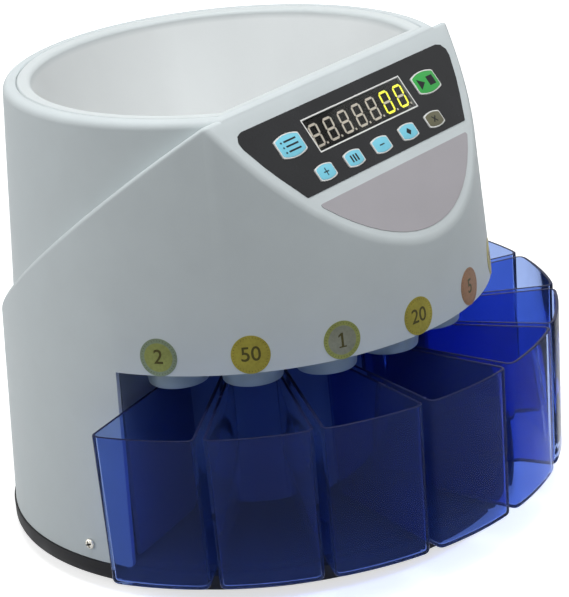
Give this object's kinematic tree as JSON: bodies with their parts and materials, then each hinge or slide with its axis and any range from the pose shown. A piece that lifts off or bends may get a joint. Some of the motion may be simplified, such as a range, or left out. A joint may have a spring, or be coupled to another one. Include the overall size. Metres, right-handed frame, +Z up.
{
  "type": "coin counter",
  "caption": "Round coin counting and sorting machine with a hopper, a sloping key panel and pull-out translucent cups below the chutes.",
  "frame": {"origin": "middle of the footprint at the level that the feet stand on", "axes": "+Z up, -Y towards the control panel and the cups, +X to the right hand of someone facing the panel"},
  "size_m": [0.3532, 0.3292, 0.266],
  "materials": {
    "body_grey": "fine-grained satin",
    "bowl_grey": "polished",
    "chute_grey": "satin",
    "black_plastic": "fine-grained",
    "rubber": "matt",
    "cup_blue": "clear tinted, polished",
    "steel": "brushed",
    "aluminium": "rolled",
    "brass": "machined",
    "gear_nylon": "moulded",
    "board_green": "solder resist",
    "overlay_black": "smooth film",
    "plate_grey": "fine satin film",
    "window_smoke": "smoked clear",
    "module_black": "matt",
    "key_cyan": "satin",
    "key_green": "satin",
    "key_olive": "satin"
  },
  "bodies": {
    "machine": {"base_pan": "black_plastic", "bay_side_left": "body_grey", "bay_side_right": "body_grey", "case_screw_left": "steel", "case_screw_right": "steel", "chute_1": "chute_grey", "chute_2": "chute_grey", "chute_3": "chute_grey", "chute_4": "chute_grey", "chute_5": "chute_grey", "chute_6": "chute_grey", "chute_7": "chute_grey", "chute_8": "chute_grey", "chute_deck": "chute_grey", "control_board": "board_green", "display_module": "module_black", "display_window": "window_smoke", "drum_case": "body_grey", "foot_back_left": "rubber", "foot_back_right": "rubber", "foot_front_left": "rubber", "foot_front_right": "rubber", "gear_motor": "steel", "hopper_bowl": "bowl_grey", "hub_wall": "chute_grey", "lower_bearing": "brass", "lower_plate": "plate_grey", "motor_plate": "steel", "outer_case": "body_grey", "panel_overlay": "overlay_black", "power_board": "board_green", "power_inlet": "black_plastic", "sorting_plate": "aluminium", "switch_bezel": "black_plastic", "track_cover": "aluminium", "track_ring": "black_plastic", "transformer": "steel", "upper_bearing": "brass"},
    "rotor": {"coin_rotor": "black_plastic", "rotor_cap": "steel", "main_shaft": "steel", "drive_gear": "gear_nylon"},
    "pinion": {"motor_pinion": "brass"},
    "rocker": {"power_rocker": "black_plastic"},
    "cup_1_body": {"cup_1": "cup_blue"},
    "cup_2_body": {"cup_2": "cup_blue"},
    "cup_3_body": {"cup_3": "cup_blue"},
    "cup_4_body": {"cup_4": "cup_blue"},
    "cup_5_body": {"cup_5": "cup_blue"},
    "cup_6_body": {"cup_6": "cup_blue"},
    "cup_7_body": {"cup_7": "cup_blue"},
    "cup_8_body": {"cup_8": "cup_blue"},
    "key_left_body": {"key_left": "key_cyan"},
    "key_start_body": {"key_start": "key_green"},
    "key_row_1_body": {"key_row_1": "key_cyan"},
    "key_row_2_body": {"key_row_2": "key_cyan"},
    "key_row_3_body": {"key_row_3": "key_cyan"},
    "key_row_4_body": {"key_row_4": "key_cyan"},
    "key_row_5_body": {"key_row_5": "key_olive"}
  },
  "joints": [
    {"name": "rotor_spin", "type": "hinge", "parent": "machine", "child": "rotor", "pos_m": [0, 0.01528, 0.15], "axis": [0, 0, 1], "continuous": true},
    {"name": "pinion_spin", "type": "hinge", "parent": "machine", "child": "pinion", "pos_m": [0.02411, -0.01344, 0.111], "axis": [0, 0, 1], "continuous": true},
    {"name": "rocker_tilt", "type": "hinge", "parent": "machine", "child": "rocker", "pos_m": [-0.021, 0.15406, 0.062], "axis": [1, 0, 0], "range_deg": [-16, 0]},
    {"name": "cup_1_slide", "type": "slide", "parent": "machine", "child": "cup_1_body", "axis": [-0.946, -0.3242, 0], "range_m": [0, 0.1]},
    {"name": "cup_2_slide", "type": "slide", "parent": "machine", "child": "cup_2_body", "axis": [-0.7747, -0.6324, 0], "range_m": [0, 0.1]},
    {"name": "cup_3_slide", "type": "slide", "parent": "machine", "child": "cup_3_body", "axis": [-0.507, -0.8619, 0], "range_m": [0, 0.1]},
    {"name": "cup_4_slide", "type": "slide", "parent": "machine", "child": "cup_4_body", "axis": [-0.1763, -0.9843, 0], "range_m": [0, 0.1]},
    {"name": "cup_5_slide", "type": "slide", "parent": "machine", "child": "cup_5_body", "axis": [0.1763, -0.9843, 0], "range_m": [0, 0.1]},
    {"name": "cup_6_slide", "type": "slide", "parent": "machine", "child": "cup_6_body", "axis": [0.507, -0.8619, 0], "range_m": [0, 0.1]},
    {"name": "cup_7_slide", "type": "slide", "parent": "machine", "child": "cup_7_body", "axis": [0.7747, -0.6324, 0], "range_m": [0, 0.1]},
    {"name": "cup_8_slide", "type": "slide", "parent": "machine", "child": "cup_8_body", "axis": [0.946, -0.3242, 0], "range_m": [0, 0.1]},
    {"name": "key_left_press", "type": "slide", "parent": "machine", "child": "key_left_body", "axis": [0, 0.8005, -0.5993], "range_m": [0, 0.0008], "stiffness_N_per_m": 1200},
    {"name": "key_start_press", "type": "slide", "parent": "machine", "child": "key_start_body", "axis": [0, 0.8005, -0.5993], "range_m": [0, 0.0008], "stiffness_N_per_m": 1200},
    {"name": "key_row_1_press", "type": "slide", "parent": "machine", "child": "key_row_1_body", "axis": [0, 0.8005, -0.5993], "range_m": [0, 0.0008], "stiffness_N_per_m": 1200},
    {"name": "key_row_2_press", "type": "slide", "parent": "machine", "child": "key_row_2_body", "axis": [0, 0.8005, -0.5993], "range_m": [0, 0.0008], "stiffness_N_per_m": 1200},
    {"name": "key_row_3_press", "type": "slide", "parent": "machine", "child": "key_row_3_body", "axis": [0, 0.8005, -0.5993], "range_m": [0, 0.0008], "stiffness_N_per_m": 1200},
    {"name": "key_row_4_press", "type": "slide", "parent": "machine", "child": "key_row_4_body", "axis": [0, 0.8005, -0.5993], "range_m": [0, 0.0008], "stiffness_N_per_m": 1200},
    {"name": "key_row_5_press", "type": "slide", "parent": "machine", "child": "key_row_5_body", "axis": [0, 0.8005, -0.5993], "range_m": [0, 0.0008], "stiffness_N_per_m": 1200}
  ],
  "couplings": [
    {"joint": "pinion_spin", "follows": "rotor_spin", "ratio": -4}
  ]
}
